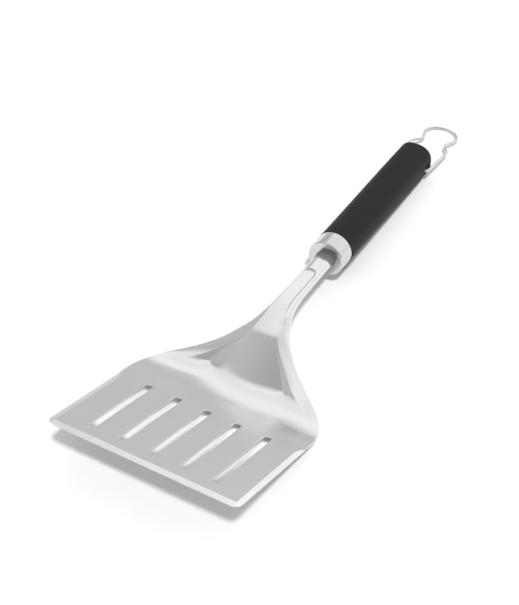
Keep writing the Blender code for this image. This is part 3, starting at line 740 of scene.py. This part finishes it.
# ---------------------------------------------------------------- materials
class Shader:
    """A material's node tree, with short calls for the nodes that are used here."""

    def __init__(self, name, turn_x=0.0):
        self.material = bpy.data.materials.new(name)
        self.material.use_nodes = True
        self.tree = self.material.node_tree
        self.principled = self.tree.nodes["Principled BSDF"]
        self.coordinates = self.add("ShaderNodeTexCoord").outputs["Object"]
        turn = self.add("ShaderNodeMapping", Vector=self.coordinates)
        turn.inputs["Rotation"].default_value = (turn_x, 0, 0)
        self.local = turn.outputs["Vector"]

    @classmethod
    def for_tree(cls, tree):
        """The same calls for the world's nodes, which start from the direction looked in."""
        made = cls.__new__(cls)
        made.tree = tree
        made.coordinates = made.add("ShaderNodeTexCoord").outputs["Generated"]
        return made

    def add(self, kind, **inputs):
        made = self.tree.nodes.new(kind)
        for name, value in inputs.items():
            self.plug(made.inputs[name.replace("_", " ")], value)
        return made

    def plug(self, socket, value):
        if isinstance(value, bpy.types.NodeSocket):
            self.tree.links.new(value, socket)
        else:
            socket.default_value = value

    def set(self, **inputs):
        for name, value in inputs.items():
            self.plug(self.principled.inputs[name.replace("_", " ")], value)

    def noise(self, scale, stretch=(1, 1, 1), detail=3.0, roughness=0.5):
        sized = self.add("ShaderNodeMapping", Vector=self.local)
        sized.inputs["Scale"].default_value = stretch
        made = self.add("ShaderNodeTexNoise", Vector=sized.outputs["Vector"], Scale=scale,
                        Detail=detail, Roughness=roughness)
        return made.outputs["Fac"]

    def remap(self, value, low, high, start=0.3, end=0.7):
        made = self.add("ShaderNodeMapRange", Value=value)
        names = ("From Min", "From Max", "To Min", "To Max")
        for name, number in zip(names, (start, end, low, high)):
            made.inputs[name].default_value = number
        return made.outputs["Result"]

    def math(self, operation, a, b):
        made = self.add("ShaderNodeMath")
        made.operation = operation
        self.plug(made.inputs[0], a)
        self.plug(made.inputs[1], b)
        return made.outputs[0]

    def mix(self, factor, a, b):
        made = self.add("ShaderNodeMix")
        made.data_type = "RGBA"
        self.plug(made.inputs["Factor"], factor)
        self.plug(made.inputs[6], a)
        self.plug(made.inputs[7], b)
        return made.outputs[2]

    def bump(self, height, distance, strength):
        made = self.add("ShaderNodeBump", Height=height, Distance=distance, Strength=strength)
        return made.outputs["Normal"]


def grey(value, tint=(1.0, 1.0, 1.0)):
    return (value * tint[0], value * tint[1], value * tint[2], 1.0)


def satin_steel():
    """Fine satin sheet steel, with its grain along the tool and faint handling marks."""
    s = Shader("satin_steel", turn_x=tilt)
    grain = s.noise(1500, (1, 0.02, 1), detail=2)
    patches = s.noise(28, detail=4, roughness=0.6)
    smears = s.noise(60, (1, 0.3, 1), detail=5, roughness=0.65)
    place = s.add("ShaderNodeSeparateXYZ", Vector=s.local)
    flat = s.remap(place.outputs["Y"], FLAT_ROUGHER, 0.0, *FLAT_END)
    uneven = s.math("ADD", flat, s.remap(patches, -0.01, 0.01))
    rough = s.math("ADD", s.remap(grain, *SATIN_ROUGH), uneven)
    s.set(
        Base_Color=s.mix(s.remap(smears, 0, 1), grey(0.77), grey(0.79, (1.0, 1.0, 0.997))),
        Metallic=1.0,
        Roughness=rough,
        Normal=s.bump(grain, 0.01 * MM, 0.15),
    )
    return s.material


def ground_steel():
    """The ground bevels: brighter, with grinding lines across the edge."""
    s = Shader("ground_steel", turn_x=tilt)
    lines = s.noise(1100, (1, 0.06, 1), detail=3)
    patches = s.noise(40, detail=3)
    s.set(
        Base_Color=s.mix(s.remap(patches, 0, 1), grey(0.82), grey(0.87)),
        Metallic=1.0,
        Roughness=s.remap(lines, 0.20, 0.28),
        Normal=s.bump(lines, 0.02 * MM, 0.3),
    )
    return s.material


def polished_steel(name, color, low, high):
    """Bright steel with hairline scratches and a faint haze."""
    s = Shader(name)
    scratches = s.noise(700, (0.15, 1, 0.15), detail=2)
    haze = s.noise(90, detail=4)
    rough = s.math("ADD", s.remap(scratches, low, high), s.remap(haze, 0.0, 0.03))
    s.set(
        Base_Color=s.mix(s.remap(haze, 0, 1), grey(color), grey(color * 1.05)),
        Metallic=1.0,
        Roughness=rough,
        Normal=s.bump(scratches, 0.01 * MM, 0.2),
    )
    return s.material


def moulded(name, color, low, high, pitch, depth, specular=0.5):
    """Moulded plastic with a fine even texture."""
    s = Shader(name)
    pebble = s.noise(1 / pitch, detail=3, roughness=0.6)
    patches = s.noise(35, detail=3)
    s.set(
        Base_Color=s.mix(s.remap(patches, 0, 1), grey(color), grey(color * 1.25)),
        Metallic=0.0,
        Specular_IOR_Level=specular,
        Roughness=s.math("ADD", s.remap(pebble, low, high), s.remap(patches, -0.02, 0.02)),
        Normal=s.bump(pebble, depth, 0.8),
    )
    return s.material


def paint_cad_node(name, material):
    """Give a CAD node that stays its own material."""
    node = frame["nodes"][name]
    node.data.materials.clear()
    node.data.materials.append(material)


# ---------------------------------------------------------------- studio
def make_floor():
    bm = bmesh.new()
    bmesh.ops.create_grid(bm, x_segments=8, y_segments=8, size=FLOOR_HALF_SIZE)
    mesh = bpy.data.meshes.new("floor")
    bm.to_mesh(mesh)
    bm.free()
    floor = bpy.data.objects.new("floor", mesh)
    bpy.context.scene.collection.objects.link(floor)
    s = Shader("studio_floor")
    mottle = s.noise(6, detail=2)
    s.set(
        Base_Color=s.mix(s.remap(mottle, 0, 1), grey(0.76), grey(0.77)),
        Roughness=0.9,
        Specular_IOR_Level=0.0,
    )
    mesh.materials.append(s.material)


def make_world():
    """Soft surroundings by direction: a wide bright panel behind the tool and over it, with a
    slanting lower edge, and a darker room in front."""
    world = bpy.data.worlds.new("studio")
    bpy.context.scene.world = world
    world.use_nodes = True
    s = Shader.for_tree(world.node_tree)
    direction = s.add("ShaderNodeSeparateXYZ", Vector=s.coordinates)
    x, y, z = (direction.outputs[axis] for axis in "XYZ")
    slant = s.math("ADD", z, s.math("MULTIPLY", x, PANEL_SLANT))
    left, back, up = (s.math("MULTIPLY", *pair) for pair in zip((x, y, z), PANEL_WAY))
    room = s.remap(y, *ROOM, -0.3, 0.3)
    to_left, to_front = s.remap(x, ROOM_CORNER, 0.0, -0.5, 0.1), s.remap(y, 1.0, 0.0, -0.3, 0.0)
    room = s.math("ADD", room, s.math("MULTIPLY", to_left, to_front))
    panel = s.math("ADD", *(s.remap(slant, 0.0, *edge) for edge in PANEL_EDGES))
    for change in PANEL_TOP:
        panel = s.math("ADD", panel, s.remap(z, 0.0, *change))
    panel = s.math("MULTIPLY", panel, s.remap(y, 0.0, 1.0, *PANEL_AHEAD))
    way = s.math("ADD", s.math("ADD", left, back), up)
    panel = s.math("MULTIPLY", panel, s.remap(way, 0.0, 1.0, *PANEL_FADE))
    level = s.math("MULTIPLY", s.math("ADD", room, panel), WORLD_LEVEL)
    background = world.node_tree.nodes["Background"]
    background.inputs["Color"].default_value = grey(1.0)
    s.plug(background.inputs["Strength"], level)


def make_lights():
    """A key light throws the shadows, and a lamp under each slot lights the floor that shows
    through it. The steel mirrors the world only."""
    key = bpy.data.lights.new("key", "SUN")
    key.angle = KEY_ANGLE
    key.energy = KEY_STRENGTH
    lamp = bpy.data.objects.new("key", key)
    toward = Vector((KEY_RUN[0], -KEY_RUN[1], 1.0))
    lamp.rotation_euler = toward.to_track_quat("Z", "Y").to_euler()
    lamps = [lamp]
    fill = bpy.data.lights.new("slot_fill", "AREA")
    fill.shape = "RECTANGLE"
    fill.size, fill.size_y = FILL_SIZE
    fill.energy = FILL_POWER
    for i in range(SLOT_COUNT):
        under = bpy.data.objects.new(f"slot_fill_{i + 1}", fill)
        under.location = (FILL_PLACE[0] + slot_place(i), *FILL_PLACE[1:])
        under.rotation_euler = (0, 0, FILL_TURN)
        under.visible_camera = False
        lamps.append(under)
    for lamp in lamps:
        lamp.visible_glossy = False
        bpy.context.scene.collection.objects.link(lamp)


def make_camera():
    level = math.cos(CAMERA_ELEVATION)
    back = Vector((level * math.sin(CAMERA_AZIMUTH), -level * math.cos(CAMERA_AZIMUTH),
                   math.sin(CAMERA_ELEVATION)))
    data = bpy.data.cameras.new("camera")
    data.sensor_fit = "HORIZONTAL"
    data.sensor_width = SENSOR
    data.lens = LENS
    camera = bpy.data.objects.new("camera", data)
    bpy.context.scene.collection.objects.link(camera)
    turn = back.to_track_quat("Z", "Y").to_matrix() @ Matrix.Rotation(CAMERA_ROLL, 3, "Z")
    place = CAMERA_TARGET + CAMERA_DISTANCE * back
    camera.matrix_world = Matrix.Translation(place) @ turn.to_4x4()
    bpy.context.scene.camera = camera


# ---------------------------------------------------------------- the whole scene
def main():
    make_camera()
    satin, ground = satin_steel(), ground_steel()
    make_blade([satin, ground])
    make_ferrule(moulded("ferrule_nylon", 0.13, 0.34, 0.44, 0.4 * MM, 0.01 * MM))
    make_collar(polished_steel("collar_steel", 0.64, 0.14, 0.18))
    make_sleeve(moulded("grip_skin", 0.010, 0.52, 0.62, 0.35 * MM, 0.03 * MM, 0.17))
    plug = moulded("plug_plastic", 0.025, 0.42, 0.50, 0.5 * MM, 0.02 * MM)
    make_plug(plug)
    make_loop(polished_steel("loop_wire", 0.66, 0.12, 0.18))
    paint_cad_node("grip_core", plug)
    for name in ("tang", "tang_pin_front", "tang_pin_rear"):
        paint_cad_node(name, satin)
    make_floor()
    make_world()
    make_lights()
    bpy.context.scene.view_settings.view_transform = "Standard"


main()
